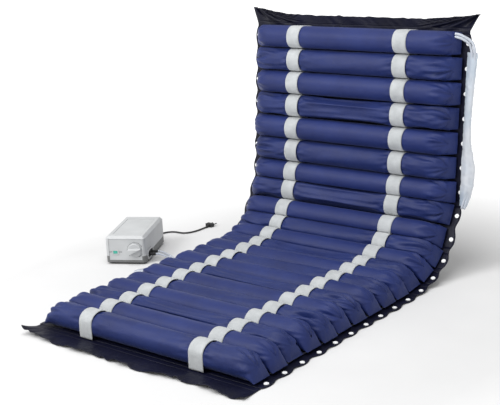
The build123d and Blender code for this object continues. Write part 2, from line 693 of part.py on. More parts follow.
# ---------------------------------------------------------------- power cord and plug
# Rear grommet, cord on the floor, a two-pin plug pointing +Y
CORD_R = 3.0
PLUG_X, PLUG_Y = -670.0, 670.0
FLOOR_Z = CORD_R + 0.5   # cord centre where it lies on the floor
PLUG_MID_Z = 3.4         # plug axis above the cord's

grommet = PUMP_AT * (cyl_y(CORD_X, CORD_Z, REAR - 4.0, REAR + 10, 4.9)
                     + cyl_y(CORD_X, CORD_Z, REAR - 6.0, REAR - 2.9, 6.4))
CORD_ROUTE = [at_pump(CORD_X, REAR + 10.5, CORD_Z), at_pump(CORD_X, REAR + 26, CORD_Z - 2),
              (-750, 484, 7), (-768, 522, FLOOR_Z), (-742, 558, FLOOR_Z),
              (-698, 566, FLOOR_Z), (-674, 600, FLOOR_Z), (PLUG_X, 640, FLOOR_Z),
              (PLUG_X, PLUG_Y, FLOOR_Z)]
save("power_cord", grommet, tube(CORD_ROUTE, CORD_R, 0))


def mains_plug():
    """Moulded body with two round contacts along its own +X."""
    plug = loft([Plane(origin=(0.6, 0, 0), z_dir=(1, 0, 0)) * Circle(3.4),
                 Plane(origin=(16, 0, PLUG_MID_Z), z_dir=(1, 0, 0)) * Circle(6.0)])
    plug += Pos(26, 0, PLUG_MID_Z) * Box(20, 30, 13)
    plug = fillet(plug.edges().group_by(Axis.X)[-1], 2.0)
    for side in SIDES:
        plug += cyl_x(side * 9.5, PLUG_MID_Z, 35.0, 55.0, 2.0)
    return plug


save("mains_plug", Location((PLUG_X, PLUG_Y, FLOOR_Z), (0, 0, 90)) * mains_plug())
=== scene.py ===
# Air-cell mattress with its back raised, and the pump beside it. Metres, +Z up, floor at z = 0.
# The cells lie across X. The sheet starts at the foot fold, at the low-Y end, runs flat towards +Y,
# and rises through five folds to the back and the head flap. The soft parts, hoses and panel
# marks are modelled here; the other CAD pieces keep their shape and only get a material.
import json
import math
from itertools import accumulate

import bmesh
import bpy
import numpy as np
from mathutils import Matrix, Vector


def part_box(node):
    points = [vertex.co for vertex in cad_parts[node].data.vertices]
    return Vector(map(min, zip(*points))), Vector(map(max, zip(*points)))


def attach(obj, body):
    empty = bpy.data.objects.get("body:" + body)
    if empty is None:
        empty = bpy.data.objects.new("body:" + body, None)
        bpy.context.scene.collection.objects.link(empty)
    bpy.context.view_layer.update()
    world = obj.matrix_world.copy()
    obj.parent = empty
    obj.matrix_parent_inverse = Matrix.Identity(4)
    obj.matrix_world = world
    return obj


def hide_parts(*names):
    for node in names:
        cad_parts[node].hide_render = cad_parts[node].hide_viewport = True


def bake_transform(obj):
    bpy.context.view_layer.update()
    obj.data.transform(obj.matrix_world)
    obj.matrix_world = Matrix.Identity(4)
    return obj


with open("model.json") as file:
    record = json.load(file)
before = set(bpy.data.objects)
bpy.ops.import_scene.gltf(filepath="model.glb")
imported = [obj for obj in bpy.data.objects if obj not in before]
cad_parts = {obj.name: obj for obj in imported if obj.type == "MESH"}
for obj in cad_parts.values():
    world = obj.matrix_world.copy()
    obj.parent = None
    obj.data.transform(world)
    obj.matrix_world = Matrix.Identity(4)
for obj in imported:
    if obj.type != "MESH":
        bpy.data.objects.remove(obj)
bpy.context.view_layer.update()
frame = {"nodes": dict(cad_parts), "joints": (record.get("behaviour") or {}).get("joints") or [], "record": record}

scene = bpy.context.scene
joints = {joint["name"]: joint for joint in frame["joints"]}

# ------------------------------------------------------------------ mattress profile
# moving sections from foot to head, and the number of cells on each
SECTION_CELLS = {"flat_section": 10, "bend_1": 1, "bend_2": 1, "bend_3": 1, "bend_4": 2,
                 "back_section": 7}
SECTIONS = list(SECTION_CELLS)
N_CELLS = sum(SECTION_CELLS.values())
N_FLAT = SECTION_CELLS["flat_section"]
CELL_SECTION = [name for name, count in SECTION_CELLS.items() for _ in range(count)]
SHEET_T = 0.0015         # base sheet thickness the cells are seated on
CLOTH_T = 0.0011         # modelled thickness of sheet cloth and webbing

_, FOOT_Y, FOOT_Z = joints["foot_flap_fold"]["pos_m"]
folds = [joints[f"fold_{k}"] for k in range(1, 6)]
PITCH = (folds[0]["pos_m"][1] - FOOT_Y) / N_FLAT
LENGTH = N_CELLS * PITCH

# heading of each cell's stretch of sheet, radians up from +Y
headings, heading = [0.0] * N_FLAT, 0.0
for fold, section in zip(folds, SECTIONS[1:]):
    heading += math.radians(-fold["range_deg"][0])
    headings += [heading] * SECTION_CELLS[section]

# (y, z) of the sheet at the cell boundaries
knots = [(FOOT_Y, FOOT_Z)]
for a in headings:
    knots.append((knots[-1][0] + PITCH * math.cos(a), knots[-1][1] + PITCH * math.sin(a)))

FOLD_CELLS = list(accumulate(SECTION_CELLS.values()))[:-1]   # first cell past each fold
BACK_ANGLE = headings[-1]


def is_soft(i):
    """Counted from the head end, every second cell is slack."""
    return (N_CELLS - 1 - i) % 2 == 1


def section_node(prefix, section):
    return f"{prefix}_{section.removesuffix('_section')}"


def half_angles(i):
    """Half the fold angle on the foot side and on the head side of cell i."""
    foot_side = (headings[i] - headings[i - 1]) / 2 if i else 0.0
    head_side = (headings[i + 1] - headings[i]) / 2 if i + 1 < N_CELLS else 0.0
    return foot_side, head_side


def cell_to_world(i, points):
    """From cell i's frame (x, along the sheet from the cell's middle, off the underside)."""
    a = headings[i]
    y0 = knots[i][0] + PITCH / 2 * math.cos(a) + SHEET_T / 2 * math.sin(a)
    z0 = knots[i][1] + PITCH / 2 * math.sin(a) - SHEET_T / 2 * math.cos(a)
    points = np.asarray(points, float)
    out = np.empty_like(points)
    out[:, 0] = points[:, 0]
    out[:, 1] = y0 + points[:, 1] * math.cos(a) - points[:, 2] * math.sin(a)
    out[:, 2] = z0 + points[:, 1] * math.sin(a) + points[:, 2] * math.cos(a)
    return out


def back_to_world(x, along, off):
    """From the back's frame (x, up the back from the last fold, off its surface)."""
    y0, z0 = knots[FOLD_CELLS[-1]]
    return (x, y0 + along * math.cos(BACK_ANGLE) - off * math.sin(BACK_ANGLE),
            z0 + along * math.sin(BACK_ANGLE) + off * math.cos(BACK_ANGLE))


# ------------------------------------------------------------------ mesh and number helpers
def new_mesh(name, verts, faces, smooth=True, uvs=None):
    mesh = bpy.data.meshes.new(name)
    mesh.from_pydata([tuple(v) for v in np.asarray(verts, float)], [],
                     [tuple(int(k) for k in face) for face in faces])
    mesh.update()
    if uvs is not None:
        layer = mesh.uv_layers.new(name="UVMap")
        corners = np.zeros(len(mesh.loops), np.int32)
        mesh.loops.foreach_get("vertex_index", corners)
        layer.data.foreach_set("uv", np.asarray(uvs, np.float32)[corners].ravel())
    mesh.polygons.foreach_set("use_smooth", [smooth] * len(mesh.polygons))
    obj = bpy.data.objects.new(name, mesh)
    scene.collection.objects.link(obj)
    return obj


def fix_normals(obj):
    bm = bmesh.new()
    bm.from_mesh(obj.data)
    bmesh.ops.recalc_face_normals(bm, faces=bm.faces)
    bm.to_mesh(obj.data)
    bm.free()
    return obj


def merge(parts):
    """Joins (vertices, faces) pairs into one pair."""
    verts, faces = [], []
    for part_verts, part_faces in parts:
        faces += [tuple(len(verts) + k for k in face) for face in part_faces]
        verts += list(part_verts)
    return verts, faces


def loft_faces(n_rings, ring):
    """Faces of a closed tube of n_rings rings with ring vertices each, capped at both ends."""
    faces = []
    for a in range(0, (n_rings - 1) * ring, ring):
        b = a + ring
        faces += [(a + k, a + (k + 1) % ring, b + (k + 1) % ring, b + k) for k in range(ring)]
    faces.append(tuple(reversed(range(ring))))
    faces.append(tuple((n_rings - 1) * ring + k for k in range(ring)))
    return faces


def sheet_solid(name, mid, uvs=None):
    """Closed thin cloth around a grid (rows, columns, 3) of points on its mid surface."""
    normals = np.cross(np.gradient(mid, axis=0), np.gradient(mid, axis=1))
    normals /= np.maximum(np.linalg.norm(normals, axis=2, keepdims=True), 1e-12)
    top = (mid + normals * CLOTH_T / 2).reshape(-1, 3)
    bottom = (mid - normals * CLOTH_T / 2).reshape(-1, 3)
    rows, cols = mid.shape[:2]
    layer = rows * cols
    idx = np.arange(layer).reshape(rows, cols)
    faces = []
    for i in range(rows - 1):
        for j in range(cols - 1):
            quad = (idx[i, j], idx[i + 1, j], idx[i + 1, j + 1], idx[i, j + 1])
            faces += [quad, tuple(layer + k for k in reversed(quad))]
    rim = [(idx[i, 0], idx[i + 1, 0]) for i in range(rows - 1)]
    rim += [(idx[-1, j], idx[-1, j + 1]) for j in range(cols - 1)]
    rim += [(idx[i + 1, -1], idx[i, -1]) for i in range(rows - 1)]
    rim += [(idx[0, j + 1], idx[0, j]) for j in range(cols - 1)]
    faces += [(q, p, p + layer, q + layer) for p, q in rim]
    uv = None if uvs is None else np.vstack([uvs.reshape(-1, 2)] * 2)
    return fix_normals(new_mesh(name, np.vstack([top, bottom]), faces, uvs=uv))


def noise_line(n, waves, seed):
    """Smooth noise on n samples, from -1 to 1 at most."""
    rand = np.random.RandomState(seed)
    t = np.linspace(0, 1, n)
    out = np.zeros(n)
    for k in range(1, waves + 1):
        out += rand.normal() / k ** 0.5 * np.sin(
            2 * np.pi * (k * t * rand.uniform(0.6, 1.4) + rand.uniform()))
    return out / np.abs(out).max()


def soft_min(a, b, sharpness):
    return np.minimum(a, b) - np.log1p(np.exp(-sharpness * np.abs(a - b))) / sharpness


def ramp_up(x, start, length):
    """0 up to start, rising to 1 over length."""
    return np.clip((x - start) / length, 0, 1)


def rounded_radius(cos, sin, half_width, half_height):
    """Radius of the slightly squared oval that the straps hold a cell to."""
    power = 2.12
    return (np.abs(cos / half_width) ** power
            + np.abs(sin / half_height) ** power) ** (-1 / power)


def fold_plane_y(z, half_angle, gap):
    """Distance from a cell's middle to the plane shared with its neighbour, less a gap."""
    return PITCH / 2 - (z - SHEET_T / 2) * math.tan(half_angle) - gap


# ------------------------------------------------------------------ shader helpers
def plug(tree, node, inputs):
    """Links sockets to a node's inputs and sets plain values on them."""
    for key, value in inputs.items():
        if isinstance(value, bpy.types.NodeSocket):
            tree.links.new(value, node.inputs[key])
        else:
            node.inputs[key].default_value = value


def add_node(tree, kind, output, inputs, **settings):
    node = tree.nodes.new("ShaderNode" + kind)
    for key, value in settings.items():
        setattr(node, key, value)
    plug(tree, node, inputs)
    return node.outputs[output]


def new_material(name):
    material = bpy.data.materials.new(name)
    material.use_nodes = True
    tree = material.node_tree
    return material, tree, tree.nodes["Principled BSDF"]


def srgb(*levels):
    """sRGB 0-255 to linear."""
    return tuple(v / 255 / 12.92 if v / 255 <= 0.04045 else ((v / 255 + 0.055) / 1.055) ** 2.4
                 for v in levels)


def scaled(colour, factor):
    return tuple(c * factor for c in colour)


def coords(tree, kind="Object"):
    return add_node(tree, "TexCoord", kind, {})


def noise(tree, vector, scale, detail=4.0, rough=0.5, distortion=0.0):
    return add_node(tree, "TexNoise", "Fac", {
        "Scale": scale, "Detail": detail, "Roughness": rough, "Distortion": distortion,
        "Vector": vector})


def ramp(tree, fac, low, high, low_at=0.3, high_at=0.7):
    node = tree.nodes.new("ShaderNodeValToRGB")
    for stop, at, colour in zip(node.color_ramp.elements, (low_at, high_at), (low, high)):
        stop.position = at
        stop.color = (*colour, 1)
    tree.links.new(fac, node.inputs["Fac"])
    return node.outputs["Color"]


def wave(tree, vector, scale, direction):
    return add_node(tree, "TexWave", "Fac", {"Scale": scale, "Vector": vector},
                    bands_direction=direction)


def calc(tree, operation, a, b):
    return add_node(tree, "Math", 0, {0: a, 1: b}, operation=operation)


def weighted_sum(tree, a, weight_a, b, weight_b):
    return calc(tree, "ADD", calc(tree, "MULTIPLY", a, weight_a),
                calc(tree, "MULTIPLY", b, weight_b))


def map_range(tree, value, low, high, **from_range):
    limits = {key.replace("_", " ").title(): v for key, v in from_range.items()}
    return add_node(tree, "MapRange", "Result",
                    {**limits, "To Min": low, "To Max": high, "Value": value})


def bump(tree, height, strength, distance, normal=None):
    inputs = {"Strength": strength, "Distance": distance, "Height": height}
    if normal is not None:
        inputs["Normal"] = normal
    return add_node(tree, "Bump", "Normal", inputs)


# ------------------------------------------------------------------ materials
def nylon(name, low, high, rough, crease, sheen, specular=0.30):
    """Coated nylon: fine plain weave, soft creases, faint colour drift and rubbed patches."""
    material, tree, bsdf = new_material(name)
    vec = coords(tree)
    drift = noise(tree, vec, scale=9.0, detail=3.0)
    rubbed = noise(tree, vec, scale=70.0, detail=5.0, rough=0.6)
    weave = calc(tree, "MULTIPLY", wave(tree, vec, scale=420.0, direction="X"),
                 wave(tree, vec, scale=420.0, direction="DIAGONAL"))
    normal = bump(tree, weave, strength=0.12, distance=0.0004)
    creases = noise(tree, vec, scale=26.0, detail=6.0, rough=0.62, distortion=0.6)
    normal = bump(tree, creases, crease, distance=0.004, normal=normal)
    fine = noise(tree, vec, scale=160.0, rough=0.6, distortion=0.3)
    normal = bump(tree, fine, crease * 0.5, distance=0.0012, normal=normal)
    plug(tree, bsdf, {
        "Base Color": ramp(tree, weighted_sum(tree, drift, 0.7, rubbed, 0.3), low, high),
        "Roughness": map_range(tree, rubbed, rough - 0.06, rough + 0.1),
        "Sheen Weight": sheen,
        "Sheen Roughness": 0.4,
        "Sheen Tint": (0.55, 0.62, 1.0, 1),
        "Specular IOR Level": specular,
        "Normal": normal})
    return material


def woven_tape(name):
    """White tape, UV in metres: u across, v along. Warp ribs crossed by weft picks."""
    material, tree, bsdf = new_material(name)
    uv = coords(tree, "UV")
    weave = calc(tree, "MULTIPLY", wave(tree, uv, scale=190.0, direction="X"),
                 wave(tree, uv, scale=300.0, direction="Y"))
    dirt = noise(tree, coords(tree), scale=30.0)
    normal = bump(tree, weave, strength=0.6, distance=0.0006)
    ripple = noise(tree, coords(tree), scale=60.0)
    plug(tree, bsdf, {
        "Base Color": ramp(tree, weighted_sum(tree, weave, 0.35, dirt, 0.65),
                           srgb(158, 162, 164), srgb(190, 193, 195), low_at=0.15, high_at=0.6),
        "Roughness": 0.72,
        "Sheen Weight": 0.35,
        "Specular IOR Level": 0.3,
        "Normal": bump(tree, ripple, strength=0.25, distance=0.002, normal=normal)})
    return material


def plastic(name, colour, rough, grain, coat=0.0):
    """Moulded plastic with a fine grain and a slight drift in colour and gloss."""
    material, tree, bsdf = new_material(name)
    vec = coords(tree)
    drift = noise(tree, vec, scale=14.0)
    grain_noise = noise(tree, vec, scale=900.0, detail=3.0, rough=0.6)
    gloss = noise(tree, vec, scale=45.0, detail=5.0)
    plug(tree, bsdf, {
        "Base Color": ramp(tree, drift, scaled(colour, 1 - 0.06), scaled(colour, 1 + 0.06)),
        "Roughness": map_range(tree, gloss, rough - 0.07, rough + 0.1),
        "Coat Weight": coat,
        "Normal": bump(tree, grain_noise, grain, distance=0.0005)})
    return material


def milky_vinyl(name, colour):
    """Partly transmitting vinyl with a cloudy variation."""
    material, tree, bsdf = new_material(name)
    vec = coords(tree)
    cloud = noise(tree, vec, scale=22.0)
    plug(tree, bsdf, {
        "Base Color": ramp(tree, cloud, scaled(colour, 0.88), colour),
        "Roughness": 0.22,
        "Transmission Weight": 0.25,
        "IOR": 1.42,
        "Normal": bump(tree, noise(tree, vec, scale=50.0), strength=0.25, distance=0.002)})
    return material


def thin_film(name):
    """Thin milky film: see-through in places, bluish in others, with fine creases."""
    material, tree, bsdf = new_material(name)
    vec = coords(tree)
    drift = noise(tree, vec, scale=7.0, detail=3.0)
    cover = noise(tree, vec, scale=18.0)
    creases = noise(tree, vec, scale=60.0, detail=5.0, rough=0.6, distortion=0.8)
    normal = bump(tree, creases, strength=0.5, distance=0.002)
    fine = noise(tree, vec, scale=240.0, detail=3.0)
    plug(tree, bsdf, {
        "Base Color": ramp(tree, drift, srgb(178, 192, 206), srgb(206, 210, 216),
                           low_at=0.35, high_at=0.6),
        "Alpha": map_range(tree, cover, 0.62, 0.92),
        "Roughness": 0.24,
        "Specular IOR Level": 0.6,
        "Normal": bump(tree, fine, strength=0.2, distance=0.0006, normal=normal)})
    return material


def metal(name, colour, rough):
    material, tree, bsdf = new_material(name)
    vec = coords(tree)
    drift = noise(tree, vec, scale=30.0)
    gloss = noise(tree, vec, scale=120.0, detail=5.0)
    grain = noise(tree, vec, scale=400.0, detail=3.0)
    plug(tree, bsdf, {
        "Base Color": ramp(tree, drift, scaled(colour, 0.85), colour),
        "Metallic": 1.0,
        "Roughness": map_range(tree, gloss, rough * 0.8, rough * 1.5),
        "Normal": bump(tree, grain, strength=0.15, distance=0.0003)})
    return material


MATERIALS = {
    "cell_fabric": nylon("cell_fabric", srgb(21, 33, 84), srgb(29, 44, 101),
                         rough=0.50, crease=0.34, sheen=0.12),
    "cell_soft": nylon("cell_fabric_soft", srgb(20, 32, 81), srgb(28, 43, 98),
                       rough=0.50, crease=0.6, sheen=0.12),
    "sheet_fabric": nylon("sheet_fabric", srgb(7, 8, 25), srgb(13, 15, 38),
                          rough=0.44, crease=0.7, sheen=0.01, specular=0.20),
    "webbing": woven_tape("webbing"),
    "stud_plastic": plastic("stud_plastic", srgb(238, 239, 240), rough=0.25, grain=0.03),
    "clear_hose": milky_vinyl("clear_hose", srgb(206, 212, 222)),
    "smoke_hose": plastic("smoke_hose", srgb(38, 40, 58), rough=0.3, grain=0.05),
    "sleeve": thin_film("sleeve_film"),
    "cover_plastic": plastic("cover_plastic", srgb(186, 188, 189), rough=0.38, grain=0.1),
    "base_plastic": plastic("base_plastic", srgb(104, 105, 105), rough=0.45, grain=0.15),
    "black_rubber": plastic("black_rubber", srgb(26, 26, 27), rough=0.6, grain=0.25),
    "rocker_green": plastic("rocker_green", srgb(62, 172, 152), rough=0.2, grain=0.02,
                            coat=0.5),
    "steel": metal("steel", (0.6, 0.6, 0.6), rough=0.28),
    "copper": metal("copper", (0.75, 0.36, 0.16), rough=0.35),
    "magnet_arm": plastic("magnet_arm", srgb(60, 60, 64), rough=0.35, grain=0.1),
    "board_green": plastic("board_green", srgb(40, 110, 70), rough=0.4, grain=0.1),
    "disc_plastic": plastic("disc_plastic", srgb(226, 226, 216), rough=0.4, grain=0.08),
    "ink": plastic("dial_ink", srgb(46, 48, 52), rough=0.5, grain=0.02),
}


def set_material(obj, key):
    obj.data.materials.clear()
    obj.data.materials.append(MATERIALS[key])


def dress(obj, material, section=None, replaces=()):
    """Gives an object its material, slot, the CAD nodes it replaces and the body it rides on."""
    set_material(obj, material)
    if replaces:
        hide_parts(*replaces)
    if section:
        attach(obj, section)
    return obj


def paint_cad():
    for name, obj in frame["nodes"].items():
        set_material(obj, next(part["material_slot"] for part in frame["record"]["subparts"]
                               if part["node"] == name))
        obj.data.polygons.foreach_set("use_smooth", [True] * len(obj.data.polygons))


# ------------------------------------------------------------------ air cells
CELL_LENGTH = 0.892      # flat length of the tube before it is inflated
CELL_R = 0.0440          # radius it would inflate to with nothing beside it
START_R = CELL_R * 0.93  # radius the inflation starts from
SHOULDER_X = 0.350       # the full section ends here and the top starts down to the end seam
BELLY_X = 0.30           # the underside is drawn in from here to the seam
SEAM_X = 0.421           # the end seams are held down on the sheet here
SEAM_LIFT = 0.006        # height left at a closed end
STRAP_X, STRAP_HALF_W = 0.221, 0.027
HELD_HALF_W, HELD_HALF_H = 0.0405, 0.0418    # section of the tube inside a strap
CELL_MID_Z = 0.0450      # an inflated cell's centre above the sheet's underside
N_LENGTH, N_ROUND = ((128, 44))
SIM_FRAMES = 26
CACHE_FRAMES = 40
MAX_TRAVEL = 0.020       # furthest a vertex may move in the simulation

# pressure: inflation force; slack: extra pattern width; dent: flattening under the straps
CELL_VARIANTS = {
    "firm_odd": dict(seed=3, pressure=6.0, slack=0.0, dent=0.03),
    "firm_even": dict(seed=11, pressure=5.4, slack=0.01, dent=0.035),
    "soft_odd": dict(seed=23, pressure=3.4, slack=0.05, dent=0.06),
    "soft_even": dict(seed=31, pressure=3.0, slack=0.06, dent=0.065),
}


def cell_pattern(slack):
    """Slim starting tube of two layers welded at both ends.

    Returns start points, flat rest points, the vertex ids of each ring, and faces.
    """
    half = N_ROUND // 2
    stations = np.linspace(-1, 1, N_LENGTH + 1)
    stations = np.sign(stations) * (1 - (1 - np.abs(stations)) ** 1.15)   # finer at the ends
    verts, rest, rings = [], [], []
    for ring, station in enumerate(stations):
        flat_x = station * CELL_LENGTH / 2
        reach = abs(flat_x)
        closing = float(ramp_up(reach, SHOULDER_X, CELL_LENGTH / 2 - SHOULDER_X))
        turn = closing * math.pi / 2
        flat_width = math.pi * CELL_R * (1 + slack) * (1 - 0.24 * closing ** 1.5)
        top_z = max(-START_R + 2 * START_R * math.cos(turn) ** 1.1, -START_R + SEAM_LIFT)
        bottom_z = -START_R + SEAM_LIFT * closing ** 3
        top_x = min(reach, SHOULDER_X) + (SEAM_X - SHOULDER_X) * math.sin(turn)
        bottom_x = reach if reach < BELLY_X else (
            BELLY_X + (reach - BELLY_X) * (SEAM_X - BELLY_X) / (CELL_LENGTH / 2 - BELLY_X))
        end = 1 if flat_x >= 0 else -1
        half_y = START_R + (0.0350 - START_R) * closing ** 2     # 0.035 at the seam
        mid_z, half_z = (top_z + bottom_z) / 2, (top_z - bottom_z) / 2
        mid_x, half_x = (top_x + bottom_x) / 2, (top_x - bottom_x) / 2
        ids = []
        for k in range(N_ROUND):
            across = k if k <= half else N_ROUND - k    # 0 at the -Y edge, half at the +Y edge
            if ring in (0, N_LENGTH) and k > half:      # the layers share the seam's vertices
                ids.append(ids[across])
                continue
            angle = (across / half - 0.5) * math.pi
            layer = 1 if k <= half else -1              # upper, lower
            lift = layer * math.cos(angle)
            ids.append(len(verts))
            verts.append((end * (mid_x + half_x * lift), half_y * math.sin(angle),
                          mid_z + half_z * lift))
            rest.append((flat_x, (across / half - 0.5) * flat_width, lift * 0.0006))
        rings.append(ids)
    faces = []
    for a, b in zip(rings, rings[1:]):
        for k in range(N_ROUND):
            nxt = (k + 1) % N_ROUND
            face = list(dict.fromkeys((a[k], b[k], b[nxt], a[nxt])))
            if len(face) > 2:
                faces.append(face)
    return np.array(verts), rest, rings, faces


def inflate(start, rest, faces, held, pressure):
    """Runs the cloth simulation and returns the settled points."""
    obj = fix_normals(new_mesh("sim_cell", start, faces))
    obj.shape_key_add(name="Basis")
    flat_key = obj.shape_key_add(name="flat")
    flat_key.data.foreach_set("co", np.array(rest, np.float32).ravel())
    flat_key.value = 0.0
    pins = obj.vertex_groups.new(name="pin")
    pins.add([int(k) for k in np.where(held)[0]], 1.0, "REPLACE")
    cloth_mod = obj.modifiers.new("Cloth", "CLOTH")
    cloth = cloth_mod.settings
    cloth.quality = 7
    cloth.mass = 0.12
    cloth.air_damping = 4.0
    cloth.tension_stiffness = cloth.compression_stiffness = 20.0
    cloth.shear_stiffness = 6.0
    cloth.bending_stiffness = 0.05
    cloth.tension_damping = cloth.compression_damping = cloth.shear_damping = 12.0
    cloth.bending_damping = 0.8
    cloth.use_pressure = True
    cloth.uniform_pressure_force = pressure
    cloth.vertex_group_mass = "pin"
    cloth.pin_stiffness = 2.0
    cloth.rest_shape_key = flat_key
    cloth.effector_weights.gravity = 0.0
    cloth_mod.collision_settings.use_collision = False
    cloth_mod.collision_settings.use_self_collision = False
    cloth_mod.point_cache.frame_start = scene.frame_start = 1
    cloth_mod.point_cache.frame_end = scene.frame_end = CACHE_FRAMES
    for number in range(1, SIM_FRAMES + 1):
        scene.frame_set(number)
    evaluated = obj.evaluated_get(bpy.context.evaluated_depsgraph_get())
    settled = np.array([v.co for v in evaluated.to_mesh().vertices])
    evaluated.to_mesh_clear()
    bpy.data.objects.remove(obj)
    scene.frame_set(1)
    return settled


def refine(points, faces):
    temp = new_mesh("tmp_cell", points, faces)
    mesh = temp.data
    smooth = temp.modifiers.new("s", "SMOOTH")
    smooth.factor, smooth.iterations = 0.3, 1
    subdivision = temp.modifiers.new("sub", "SUBSURF")
    subdivision.levels = subdivision.render_levels = 1
    depsgraph = bpy.context.evaluated_depsgraph_get()
    mesh = bpy.data.meshes.new_from_object(temp.evaluated_get(depsgraph))
    verts = np.array([v.co for v in mesh.vertices])
    faces = [tuple(p.vertices) for p in mesh.polygons]
    bpy.data.objects.remove(temp)
    return verts, faces


def simulate_cell(seed, pressure, slack, dent):
    """An inflated tube about its own centre: end seams and strap bands are held in place."""
    start, rest, rings, faces = cell_pattern(slack)
    rand = np.random.RandomState(seed)
    # a little unevenness all over, more at the gathered ends
    for _ in range(14):
        phase, freq = rand.uniform(0, 6.28), rand.uniform(60, 240)
        near_end = np.exp(-((np.abs(start[:, 0]) - 0.38) / 0.03) ** 2) + 0.08
        start[:, 2] += near_end * 0.0010 * np.sin(freq * start[:, 1] + phase)
        swell = np.sin(freq * 0.4 * start[:, 0] + phase
                       + 20 * start[:, 2] * rand.uniform(-1, 1))
        start[:, 1:] *= (1 + 0.0018 * swell)[:, None]
    # where the straps pass, the tube is held at the strap's inner face
    held = np.abs(np.abs(start[:, 0]) - STRAP_X) < STRAP_HALF_W + 0.001
    angle = np.arctan2(start[:, 2], start[:, 1])
    cos, sin = np.cos(angle), np.sin(angle)
    radius = rounded_radius(cos, sin, HELD_HALF_W, HELD_HALF_H * (1 - dent))
    start[held, 1] = (radius * cos)[held]
    start[held, 2] = (radius * sin)[held] - HELD_HALF_H * dent
    held[rings[0]] = True
    held[rings[-1]] = True
    travel = inflate(start, rest, faces, held, pressure) - start
    distance = np.linalg.norm(travel, axis=1)
    points = start + travel * np.minimum(1, MAX_TRAVEL / np.maximum(distance, 1e-9))[:, None]
    return refine(points, faces)


def cell_creases(i, points, soft):
    """Outward displacement of each point of cell i, and its angle round the tube."""
    rand = np.random.RandomState(400 + i)
    x = points[:, 0]
    reach = np.abs(x)
    angle = np.arctan2(points[:, 2], points[:, 1])
    # gathers running in from the end seams
    gathers = np.zeros(len(points))
    for n in (5, 8, 11, 15):                     # waves round the tube
        a, b = rand.uniform(0, 6.28, 2)
        twist = rand.uniform(10, 26)
        gathers += np.sin(n * angle + np.where(x > 0, a, b) + twist * (reach - 0.36)) / n ** 0.5
    envelope = ramp_up(reach, 0.315, 0.075) ** 1.4 * np.clip((0.432 - reach) / 0.02, 0, 1)
    push = gathers * envelope * (0.0034 if soft else 0.0026)
    # a few deep valleys with raised sides at each end
    for end in (-1, 1):
        for _ in range(4 if soft else 3):
            at = rand.uniform(0.25, 2.9)
            start = rand.uniform(0.27 if soft else 0.315, 0.36)
            depth = rand.uniform(0.004, 0.0095 if soft else 0.007)
            slant = rand.uniform(-5, 5)
            extent = ramp_up(reach, start, 0.06) ** 1.3
            extent *= np.clip((0.436 - reach) / 0.02, 0, 1) * (x * end > 0)
            off = angle - at - slant * (reach - start)
            valley = np.exp(-(off / 0.15) ** 2)
            push -= depth * extent * (valley - 0.45 * np.exp(-(np.abs(off) - 0.32) ** 2 / 0.02))
    # slanting creases beside the straps
    fade = 0.030 if soft else 0.014
    for strap_x in (-STRAP_X, STRAP_X):
        for side in (-1, 1):
            u = (x - strap_x) * side - STRAP_HALF_W
            near = np.exp(-(np.maximum(u, 0.0) / fade) ** 1.2) * ramp_up(u, 0, 0.006)
            a, b = rand.uniform(0, 6.28, 2)
            push += near * (0.0026 if soft else 0.0010) * (
                np.sin(7 * angle + a + 40 * u) + 0.7 * np.sin(12 * angle + b - 60 * u))
    # a soft cell also ripples between the straps
    if soft:
        ripple = np.sin(5 * angle + rand.uniform(0, 6.28) + 9 * x)
        ripple *= 0.6 + 0.4 * np.sin(22 * x + rand.uniform(0, 6.28))
        push += np.clip((0.19 - reach) / 0.06, 0, 1) * 0.0016 * ripple
    return push * np.clip(np.sin(angle) + 0.75, 0, 1), angle      # fades out underneath


def seat_cell(i, points, soft):
    """Creases a tube and fits it in place: flat on the sheet, flattened by its neighbours."""
    push, angle = cell_creases(i, points, soft)
    x = points[:, 0]
    y = points[:, 1] + push * np.cos(angle)
    z = points[:, 2] + push * np.sin(angle) + CELL_MID_Z
    if soft:
        z = 0.002 + (z - 0.002) * 0.968          # a soft cell sags
    foot_side, head_side = half_angles(i)
    under_strap = np.exp(-((np.abs(x) - STRAP_X) / (STRAP_HALF_W + 0.003)) ** 8)
    head_limit = fold_plane_y(z, head_side, 0.0009) - 0.0016 * under_strap
    foot_limit = fold_plane_y(z, foot_side, 0.0009) - 0.0016 * under_strap
    y = np.where(y > 0.012, soft_min(y, head_limit, 900.0), y)
    y = np.where(y < -0.012, -soft_min(-y, foot_limit, 900.0), y)
    z = soft_min(z, np.full(len(z), 0.0915), 500.0)              # highest point allowed
    # the two air lines run under the +X ends of the flat cells, which ride up over them
    over = ramp_up(x, 0.386, 0.008) * (i < N_FLAT)
    lowest = SHEET_T + 0.0006 + 0.0078 * over * over * (3 - 2 * over)
    z = np.maximum(-soft_min(-z, -lowest, 700.0), lowest)
    return cell_to_world(i, np.stack([x, y, z], 1))


def build_cells():
    tubes = {name: simulate_cell(**variant) for name, variant in CELL_VARIANTS.items()}
    for i in range(N_CELLS):
        soft = is_soft(i)
        parity = "odd" if (i // 2) % 2 else "even"
        verts, faces = tubes[f"{'soft' if soft else 'firm'}_{parity}"]
        verts = verts.copy()
        if (i // 4) % 2:                         # mirrored, so that repeats are less alike
            verts[:, 0] *= -1
            faces = [tuple(reversed(face)) for face in faces]
        verts[:, 0] *= 1 + 0.006 * math.sin(i * 2.3)
        verts[:, 0] += 0.003 * math.sin(i * 1.7 + 1)
        obj = new_mesh(f"air_cell_{i + 1:02d}", seat_cell(i, verts, soft), faces)
        section = CELL_SECTION[i]
        prefix = "cells"
        if section in ("flat_section", "back_section"):
            prefix = "cells_b" if i % 2 else "cells_a"
        dress(obj, "cell_soft" if soft else "cell_fabric", section,
              [section_node(prefix, section)])


